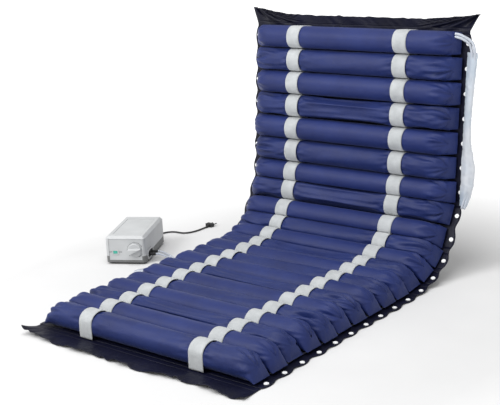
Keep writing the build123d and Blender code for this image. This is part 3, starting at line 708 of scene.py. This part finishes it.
# ------------------------------------------------------------------ webbing straps
STRAP_TOP = {False: 0.0879, True: 0.0852}    # top above the sheet's underside, keyed by soft
STRAP_LOW = 0.0045                           # height of a strap's ends in the valleys
STRAP_ROWS, STRAP_COLS = 46, 13


def strap_arch(i, soft):
    """Outer line (y, z) of a strap over cell i, from the foot-side to the head-side valley."""
    angle = np.pi * np.arange(31) / 30
    cos, sin = -np.cos(angle), np.sin(angle)
    radius = rounded_radius(cos, sin, 0.0414, STRAP_TOP[soft] - CELL_MID_Z)
    over = np.stack([radius * cos, CELL_MID_Z + radius * sin], 1)
    climb = [(0.0410, STRAP_LOW + (CELL_MID_Z - STRAP_LOW) * q) for q in (0.0, 0.25, 0.5, 0.75)]
    points = np.vstack([[(-y, z) for y, z in climb], over, climb[::-1]])
    foot_side, head_side = half_angles(i)
    y, z = points.T
    head_limit = fold_plane_y(z, head_side, 0.0004)
    foot_limit = fold_plane_y(z, foot_side, 0.0004)
    y = np.where(y > 0, soft_min(y, head_limit, 900.0), -soft_min(-y, foot_limit, 900.0))
    return np.stack([y, z], 1)


def resample(points, n):
    """n evenly spaced points along a line, and their distances from its start."""
    run = np.r_[0, np.cumsum(np.linalg.norm(np.diff(points, axis=0), axis=1))]
    t = np.linspace(0, run[-1], n)
    return np.stack([np.interp(t, run, column) for column in points.T], 1), t


def build_strap(i, side, side_name):
    arch, run = resample(strap_arch(i, is_soft(i)), STRAP_ROWS)
    tangent = np.gradient(arch, axis=0)
    tangent /= np.linalg.norm(tangent, axis=1)[:, None]
    normal = np.stack([-tangent[:, 1], tangent[:, 0]], 1)
    normal *= np.sign((normal * (arch - [0, CELL_MID_Z])).sum(1))[:, None]
    grid = np.zeros((STRAP_ROWS, STRAP_COLS, 3))
    uvs = np.zeros((STRAP_ROWS, STRAP_COLS, 2))
    skew = 0.0012 * math.sin(i * 1.9 + side)
    for j, across in enumerate(np.linspace(-1, 1, STRAP_COLS)):
        waist = 1 - 0.02 * np.sin(math.pi * run / run[-1])
        # the edges dip a little, below a mid surface set in from the outer face
        depth = -0.0005 * abs(across) ** 6 + 0.0002 * math.sin(across * 9 + i) - 0.0006
        grid[:, j, 0] = side * STRAP_X + across * STRAP_HALF_W * waist
        grid[:, j, 0] += skew * (run / run[-1] - 0.5)
        grid[:, j, 1:] = arch + normal * depth
        uvs[:, j, 0] = across * STRAP_HALF_W
        uvs[:, j, 1] = run + i * 0.2
    placed = cell_to_world(i, grid.reshape(-1, 3)).reshape(grid.shape)
    obj = sheet_solid(f"strap_{side_name}_{i + 1:02d}", placed, uvs)
    section = CELL_SECTION[i]
    dress(obj, "webbing", section, [section_node("strap_loops", section)])


def build_straps():
    for i in range(N_CELLS):
        build_strap(i, -1, "left")
        build_strap(i, 1, "right")


# ------------------------------------------------------------------ press studs
STUD_X = 0.437
STUD_SEGMENTS = 28
# (radius, height) from the dished middle over the rolled rim to the underside
STUD_PROFILE = [
    (0.0, 0.0030), (0.0022, 0.0029), (0.0034, 0.0031), (0.0046, 0.0036), (0.0058, 0.0038),
    (0.0068, 0.0035), (0.0075, 0.0025), (0.0077, 0.0012), (0.0074, 0.0002), (0.0062, 0.0)]


def stud_mesh():
    n = STUD_SEGMENTS
    verts = [(0, 0, STUD_PROFILE[0][1])]
    for r, z in STUD_PROFILE[1:]:
        verts += [(r * math.cos(2 * math.pi * k / n), r * math.sin(2 * math.pi * k / n), z)
                  for k in range(n)]
    faces = [(0, 1 + k, 1 + (k + 1) % n) for k in range(n)]
    last = 1 + (len(STUD_PROFILE) - 2) * n
    for a in range(1, last, n):
        b = a + n
        faces += [(a + k, b + k, b + (k + 1) % n, a + (k + 1) % n) for k in range(n)]
    faces.append(tuple(last + k for k in reversed(range(n))))
    return np.array(verts), faces


def build_studs():
    stud_verts, stud_faces = stud_mesh()
    for section in SECTIONS:
        studs = [(cell_to_world(i, stud_verts + [x, 0, SHEET_T + 0.0002]), stud_faces)
                 for i in range(N_CELLS) if CELL_SECTION[i] == section
                 for x in (-STUD_X, STUD_X)]
        obj = fix_normals(new_mesh("press_studs_" + section, *merge(studs)))
        dress(obj, "stud_plastic", section,
              [section_node("snap_studs", section)])


# ------------------------------------------------------------------ base sheet
BEND_HALF = 0.011        # half length of the strip that bends at each fold
EDGE_SAMPLES = 400
edge_noise = {-1: noise_line(EDGE_SAMPLES, 40, seed=5), 1: noise_line(EDGE_SAMPLES, 40, seed=6)}


def profile_at(s):
    """(y, z) and heading of the sheet at distance s from the foot fold, rounded at folds."""
    i = int(min(max(s // PITCH, 0), N_CELLS - 1))
    along = s - i * PITCH
    a = headings[i]
    y, z = knots[i][0] + along * math.cos(a), knots[i][1] + along * math.sin(a)
    for k in (i, i + 1):
        if 0 < k < N_CELLS and headings[k] != headings[k - 1]:
            past = s - k * PITCH
            if abs(past) < BEND_HALF:
                a0, a1 = headings[k - 1], headings[k]
                p1 = np.array(knots[k])
                p0 = p1 - BEND_HALF * np.array([math.cos(a0), math.sin(a0)])
                p2 = p1 + BEND_HALF * np.array([math.cos(a1), math.sin(a1)])
                t = (past + BEND_HALF) / (2 * BEND_HALF)
                y, z = (1 - t) ** 2 * p0 + 2 * t * (1 - t) * p1 + t * t * p2
                a = a0 + (a1 - a0) * t
    return y, z, a


def between_studs(s):
    """0 at a stud, 1 midway between two."""
    return 0.5 - 0.5 * math.cos(2 * math.pi * (s / PITCH - 0.5))


def half_width(s, u):
    """Scalloped edge on u's side: full at each stud, drawn in between studs."""
    last = EDGE_SAMPLES - 1
    sample = int(np.clip((s + 0.12) / (LENGTH + 0.24) * last, 0, last))
    rough = edge_noise[-1 if u < 0 else 1][sample]
    return 0.4505 - 0.0085 * between_studs(s) ** 1.5 + 0.0035 * rough


def edge_lift(s, x):
    """The free edge curls up a little between studs."""
    out = ramp_up(abs(x), 0.405, 0.045)
    return 0.0055 * between_studs(s) ** 2 * out ** 2 * (0.6 + 0.4 * math.sin(s * 37 + x))


def sheet_piece(name, s0, s1, section=None, replaces=()):
    """The stretch of base sheet from s0 to s1."""
    rows = max(4, int((s1 - s0) / 0.006)) + 1
    across = np.linspace(-1, 1, 61)
    across = np.sign(across) * np.abs(across) ** 0.55      # finer at the edges
    grid = np.zeros((rows, len(across), 3))
    for row, s in enumerate(np.linspace(s0, s1, rows)):
        y, z, a = profile_at(s)
        for col, u in enumerate(across):
            x = u * half_width(s, u)
            lift = edge_lift(s, x)
            grid[row, col] = (x, y - lift * math.sin(a), z + lift * math.cos(a))
    return dress(sheet_solid(name, grid), "sheet_fabric", section, replaces)


def build_sheet():
    """One continuous cloth, cut into a piece per section and a bending strip per fold."""
    cuts = [k * PITCH for k in (0, *FOLD_CELLS, N_CELLS)]
    for section, start, end in zip(SECTIONS, cuts, cuts[1:]):
        sheet_piece("base_cloth_" + section, start + BEND_HALF, end - BEND_HALF, section,
                    [section_node("base_sheet", section)])
    for k, s in enumerate(cuts[1:-1]):
        s0, s1 = s - BEND_HALF, s + BEND_HALF
        obj = sheet_piece(f"base_cloth_fold_{k + 1}", s0, s1)
        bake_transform(obj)


# ------------------------------------------------------------------ flaps
FLAP_BEND = 0.010        # the bending strip reaches this far into a flap
HEAD_FLAP, FOOT_FLAP = 0.052, 0.078      # flap lengths
flap_noise = [noise_line(1200, 26, seed=60 + k) for k in range(4)]


def flap_noise_at(k, u):
    return float(np.interp((u + 1) / 2 * 1199, np.arange(1200), flap_noise[k]))


def head_point(t, u):
    """Point t past the mattress's head end, u from -1 to 1 across.

    The corners are drawn up and out, which pulls slanting tension folds across the flap.
    """
    left = u < 0
    c = abs(u)
    f = max(0.0, t) / HEAD_FLAP
    reach = 0.037 + 0.0024 * flap_noise_at(0, u)
    reach += (0.024 if left else 0.018) * max(0.0, (c - 0.60) / 0.40) ** 1.5
    along = t if t < 0 else f * reach
    flare = (0.018 if left else 0.036) * max(0.0, (c - 0.62) / 0.38) ** 1.7 * f
    x = u * half_width(LENGTH, u) + math.copysign(flare, u)
    # straight pleats fan out of each drawn corner; the middle is nearly smooth
    near = max(0.0, (c - 0.55) / 0.45)
    fan = (1.0 - c) / (0.035 + 0.30 * max(0.0, 1.0 - f))
    fold = 0.0090 * near ** 0.7 * math.sin(9.0 * fan + (0.6 if left else 2.1))
    slant = u + 0.10 * f
    pleat = max(0.0, math.sin(11.0 * slant + 1.0)) ** 3
    fold += 0.0030 * (1 - near) * (pleat + 0.5 * flap_noise_at(2, slant))
    off = fold * min(1.0, 0.25 + f * 1.3) - 0.002 * f + 0.006 * f * f
    sin, cos = math.sin(BACK_ANGLE), math.cos(BACK_ANGLE)
    y, z = knots[-1]
    return (x, y + along * cos - off * sin, z + along * sin + off * cos)


def foot_point(t, u):
    """Point t past the foot fold, towards -Y: a slack strip lying in waves on the floor."""
    f = max(0.0, t) / FOOT_FLAP
    reach = 0.074 + 0.010 * flap_noise_at(3, u * 0.7) + 0.004 * math.sin(9 * u)
    along = t if t < 0 else f * reach
    curl = max(0.0, (-u - 0.86) / 0.14) ** 1.6 * f          # the -X corner curls up
    x = u * (half_width(0, u) + 0.004 * f) + 0.020 * curl
    waves = 0.5 + 0.5 * math.sin(17 * u + 1.3 * flap_noise_at(0, u) + 2.0 * f)
    lift = 0.012 * curl + waves * 0.011 * f ** 1.4
    lift += 0.004 * f * (0.5 + 0.5 * flap_noise_at(1, u + 0.05 * f))
    lift += 0.016 * f ** 2 * max(0.0, (-u - 0.75) / 0.25) ** 1.5
    return (x, FOOT_Y - along, FOOT_Z + lift)


def flap_cloth(name, point_at, t0, t1, steps, section=None, replaces=()):
    grid = np.array([[point_at(t, u) for u in np.linspace(-1, 1, 241)]
                     for t in np.linspace(t0, t1, steps + 1)])
    return dress(sheet_solid(name, grid), "sheet_fabric", section, replaces)


def build_flap(flap, point_at, length, steps):
    """A flap and the strip that bends between it and the neighbouring section."""
    flap_cloth(flap + "_cloth", point_at, FLAP_BEND, length, steps, flap, [flap])
    strip = flap_cloth(flap + "_bend", point_at, -BEND_HALF, FLAP_BEND, 6)
    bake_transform(strip)


def build_flaps():
    build_flap("head_flap", head_point, HEAD_FLAP, 14)
    build_flap("foot_flap", foot_point, FOOT_FLAP, 16)


# ------------------------------------------------------------------ hoses
BACK_HOSE_R, FLAT_LINE_R = 0.0046, 0.0034
BACK_HOSE_GAP = 0.0098           # between the centres of the two hoses on the back
FLAT_LINE_X = (0.3990, 0.4070)
FLAT_FEED_DY = (-0.006, 0.006)   # each feed's place about the connectors' middle
FEED_START_X = -0.3985
# outer edge of the film sleeve at the +X side of the back: (distance up the back, x)
SLEEVE_EDGE = [
    (-0.004, 0.466), (0.03, 0.479), (0.075, 0.488), (0.125, 0.490), (0.165, 0.481),
    (0.21, 0.471), (0.27, 0.4655), (0.33, 0.4670), (0.39, 0.470), (0.45, 0.474),
    (0.50, 0.477), (0.53, 0.472)]
SLEEVE_START, SLEEVE_END = -0.004, 0.512
SLEEVE_RINGS, SLEEVE_ROUND = 150, 28


def sleeve_edge_x(along):
    return float(np.interp(along, *zip(*SLEEVE_EDGE)))


def spline_points(control, n):
    """Catmull-Rom curve through the control points, n points in all."""
    c = np.array(control, float)
    c = np.vstack([2 * c[0] - c[1], c, 2 * c[-1] - c[-2]])
    out = []
    for t in np.linspace(0, len(c) - 3, n):
        k = min(int(t), len(c) - 4)
        u = t - k
        p0, p1, p2, p3 = c[k:k + 4]
        out.append(0.5 * (2 * p1 + (p2 - p0) * u + (2 * p0 - 5 * p1 + 4 * p2 - p3) * u ** 2
                          + (3 * p1 - p0 - 3 * p2 + p3) * u ** 3))
    return np.array(out)


def tube(path, radius, ring=16):
    """Closed round tube with softened ends along a path of points."""
    path = np.asarray(path, float)
    tangents = np.gradient(path, axis=0)
    tangents /= np.linalg.norm(tangents, axis=1)[:, None]
    verts = []
    for k, (point, tangent) in enumerate(zip(path, tangents)):
        side = np.cross(tangent, (0.3, -0.8, 0.5))
        side /= np.linalg.norm(side)
        other = np.cross(tangent, side)
        r = radius * {0: 0.86, 1: 0.97}.get(min(k, len(path) - 1 - k), 1.0)
        verts += [point + r * (math.cos(t) * side + math.sin(t) * other)
                  for t in np.linspace(0, 2 * math.pi, ring, endpoint=False)]
    return np.array(verts), loft_faces(len(path), ring)


def build_back_hoses():
    """Two hoses up the +X edge of the back, turning in over it near the top."""
    for letter, gap in (("a", 0.0), ("b", BACK_HOSE_GAP)):
        # (x, distance up the back, height off it)
        control = [(sleeve_edge_x(along) - 0.0185 + gap, along, 0.0095)
                   for along in (-0.012, 0.05, 0.11, 0.17, 0.23, 0.30, 0.37, 0.44, 0.49)]
        control += [(0.452 + gap, 0.536 + gap * 0.6, 0.020), (0.428, 0.556 + gap, 0.031),
                    (0.404, 0.562 + gap, 0.036)]
        path = [back_to_world(*point) for point in spline_points(control, 110)]
        obj = fix_normals(new_mesh(f"air_hose_back_{letter}", *tube(path, BACK_HOSE_R)))
        dress(obj, "clear_hose", "back_section", ["air_hoses_back"])


def build_flat_lines():
    """Two air lines along the +X cell ends, each with a feed from the -X edge."""
    lines_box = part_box("air_hoses_flat")
    feed_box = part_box("hose_connectors")
    y_low, y_high = lines_box[0][1], lines_box[1][1]
    feed_y = (feed_box[0][1] + feed_box[1][1]) / 2
    z = SHEET_T + 0.0040
    tubes = []
    for k, (x, feed_dy) in enumerate(zip(FLAT_LINE_X, FLAT_FEED_DY)):
        line = [(x + 0.0010 * math.sin(21 * y + 2 * k), y, z)
                for y in np.linspace(y_low + 0.004, y_high - 0.004, 90)]
        feed = [(q, feed_y + feed_dy, z) for q in np.linspace(FEED_START_X, x, 40)]
        tubes += [tube(line, FLAT_LINE_R), tube(feed, FLAT_LINE_R)]
    obj = fix_normals(new_mesh("air_lines_flat", *merge(tubes)))
    dress(obj, "smoke_hose", "flat_section", ["air_hoses_flat"])


def build_sleeve():
    """Flat film bag drawn round both back hoses, its inner edge by the sheet's edge."""
    outer_noise, inner_noise, phase_noise, height_noise = (
        noise_line(SLEEVE_RINGS, 34, seed=90 + k) for k in range(4))
    verts = []
    for row, along in enumerate(np.linspace(SLEEVE_START, SLEEVE_END, SLEEVE_RINGS)):
        outer = sleeve_edge_x(along) + 0.0012 * outer_noise[row]
        inner = 0.4362 + 0.0015 * inner_noise[row]
        fat = 0.0072 * min(1.0, 0.25 + 14 * (along - SLEEVE_START))
        fat *= min(1.0, 0.3 + 16 * (SLEEVE_END - along))
        for k in range(SLEEVE_ROUND):
            angle = 2 * math.pi * k / SLEEVE_ROUND
            u = 0.5 - 0.5 * math.cos(angle)         # 0 at the inner edge, 1 at the outer
            mid = 0.0042 + 0.0048 * min(1.0, u / 0.4)
            bulge = math.copysign(abs(math.sin(angle)) ** 0.7, math.sin(angle))
            bulge *= fat * (0.18 + 0.82 * min(1.0, u / 0.5))
            crease = 0.0009 * math.sin(7 * u + 60 * along + 2.5 * phase_noise[row])
            crease += 0.0007 * height_noise[row]
            verts.append(back_to_world(inner + (outer - inner) * u, along,
                                       mid + bulge + crease))
    faces = loft_faces(SLEEVE_RINGS, SLEEVE_ROUND)
    obj = fix_normals(new_mesh("hose_sleeve_film", verts, faces))
    dress(obj, "sleeve", "back_section", ["hose_sleeve"])


# ------------------------------------------------------------------ marks on the pump's panel
KNOB = np.array(joints["knob_turn"]["pos_m"])
PANEL_OUT = np.array(joints["knob_turn"]["axis"], float)
PANEL_OUT /= np.linalg.norm(PANEL_OUT)
PANEL_UP = np.array([0.0, 0.0, 1.0])
PANEL_RIGHT = np.cross(-PANEL_OUT, PANEL_UP)
PANEL_DEPTH = 0.0012     # the panel's face lies this far behind the knob's joint
INK_T = 0.00018
SWITCH_DX = -0.074       # middle of the switch words from the knob's centre


def panel_point(right, up, out):
    return KNOB + PANEL_RIGHT * right + PANEL_UP * up + PANEL_OUT * (out - PANEL_DEPTH)


def dial_mark(r0, r1, angle0, angle1, steps=4):
    """Raised ink patch between two radii and two angles in degrees, clockwise from the top."""
    verts, faces = [], []
    for k in range(steps + 1):
        t = math.radians(angle0 + (angle1 - angle0) * k / steps)
        verts += [panel_point(r * math.sin(t), r * math.cos(t), out)
                  for r, out in ((r0, 0.0), (r1, 0.0), (r1, INK_T), (r0, INK_T))]
    for a in range(0, 4 * steps, 4):
        b = a + 4
        faces += [(a + q, a + (q + 1) % 4, b + (q + 1) % 4, b + q) for q in range(4)]
    last = 4 * steps
    faces += [(0, 3, 2, 1), (last, last + 1, last + 2, last + 3)]
    return verts, faces


def build_dial():
    marks = []
    for k in range(17):              # ring of dashes that widens clockwise
        width = 0.0006 + 0.0017 * (k / 16) ** 1.2
        start = -88 + k * 14.4
        marks.append(dial_mark(0.0292 - width / 2, 0.0292 + width / 2, start, start + 10.6))
    for k in range(9):               # ticks outside the ring
        middle = -90 + k * 28.8
        marks.append(dial_mark(0.0312, 0.0322, middle - 0.9, middle + 0.9, steps=2))
    marks.append(dial_mark(0.0275, 0.0310, -137, -133, steps=2))
    obj = fix_normals(new_mesh("dial_marks", *merge(marks), smooth=False))
    dress(obj, "ink", "flat_section")


def build_word(word, right, up=-0.008):
    curve = bpy.data.curves.new("word_" + word, "FONT")
    curve.body = word
    curve.size = 0.0072
    curve.align_x, curve.align_y = "CENTER", "CENTER"
    curve.extrude = 0.0001
    curve.resolution_u = 3
    temp = bpy.data.objects.new("tmp_word", curve)
    scene.collection.objects.link(temp)
    bpy.context.view_layer.update()
    evaluated = temp.evaluated_get(bpy.context.evaluated_depsgraph_get())
    mesh = bpy.data.meshes.new_from_object(evaluated)
    bpy.data.objects.remove(temp)
    points = [panel_point(right + v.co.x, up + v.co.y, 0.0001 + v.co.z) for v in mesh.vertices]
    mesh.vertices.foreach_set("co", np.array(points, np.float32).ravel())
    mesh.update()
    obj = bpy.data.objects.new("switch_word_" + word.lower(), mesh)
    scene.collection.objects.link(obj)
    dress(obj, "ink", "flat_section")


# ------------------------------------------------------------------ stage, light and camera
CAMERA_PLACE = (2.132370, -2.493467, 1.255016)
CAMERA_AXES = (
    (0.7837750400662777, 0.6191766208887549, -0.04813521282686876),     # right
    (-0.12766914785117398, 0.2364886051600844, 0.9632101163901845),     # up
    (0.6077806144128487, -0.7487946659627196, 0.2644036175428))         # backward


def build_floor():
    """White floor that glows with distance, so that it fades into the background."""
    half = 30
    floor = new_mesh("floor", [(-half, -half, 0), (half, -half, 0), (half, half, 0),
                               (-half, half, 0)], [(0, 1, 2, 3)], smooth=False)
    material, tree, bsdf = new_material("floor_paint")
    patches = noise(tree, coords(tree), scale=3.0, detail=3.0)
    distance = add_node(tree, "VectorMath", "Value", {0: coords(tree)}, operation="LENGTH")
    plug(tree, bsdf, {
        "Base Color": ramp(tree, patches, (0.66, 0.66, 0.66), (0.69, 0.69, 0.69)),
        "Roughness": 0.75,
        "Emission Color": (1, 1, 1, 1),
        "Emission Strength": map_range(tree, distance, 0.0, 0.8, from_min=0.9, from_max=2.4)})
    floor.data.materials.append(material)
    floor.location.z = -0.0006


def build_world():
    """White world, brighter to the camera than as a light."""
    world = bpy.data.worlds.new("studio")
    scene.world = world
    world.use_nodes = True
    tree = world.node_tree
    seen = add_node(tree, "LightPath", "Is Camera Ray", {})
    plug(tree, tree.nodes["Background"],
         {"Color": (1, 1, 1, 1), "Strength": map_range(tree, seen, 0.66, 1.0)})


def area_light(name, place, target, side, power):
    light = bpy.data.lights.new(name, "AREA")
    light.shape = "RECTANGLE"
    light.size = light.size_y = side
    light.energy = power
    obj = bpy.data.objects.new(name, light)
    scene.collection.objects.link(obj)
    obj.location = place
    aim = Vector(target) - Vector(place)
    obj.rotation_euler = aim.to_track_quat("-Z", "Y").to_euler()


def build_camera():
    camera = bpy.data.cameras.new("camera")
    camera.sensor_width = 36
    camera.lens = 78.830748
    camera.clip_end = 60
    obj = bpy.data.objects.new("camera", camera)
    scene.collection.objects.link(obj)
    turn = Matrix(CAMERA_AXES).transposed().to_4x4()
    obj.matrix_world = Matrix.Translation(CAMERA_PLACE) @ turn
    scene.camera = obj
    scene.view_settings.view_transform = "Standard"
    scene.view_settings.look = "None"


paint_cad()
build_cells()
build_straps()
build_studs()
build_sheet()
build_flaps()
build_back_hoses()
build_flat_lines()
build_sleeve()
build_dial()
build_word("OFF", SWITCH_DX - 0.0185)
build_word("ON", SWITCH_DX + 0.0180)
build_floor()
build_world()
area_light("key", (-1.7, -3.0, 2.9), target=(0, -0.2, 0.1), side=1.9, power=112)
area_light("top", (0.1, -1.0, 4.3), target=(0, 0.0, 0.0), side=3.0, power=102)
build_camera()

bpy.context.view_layer.update()
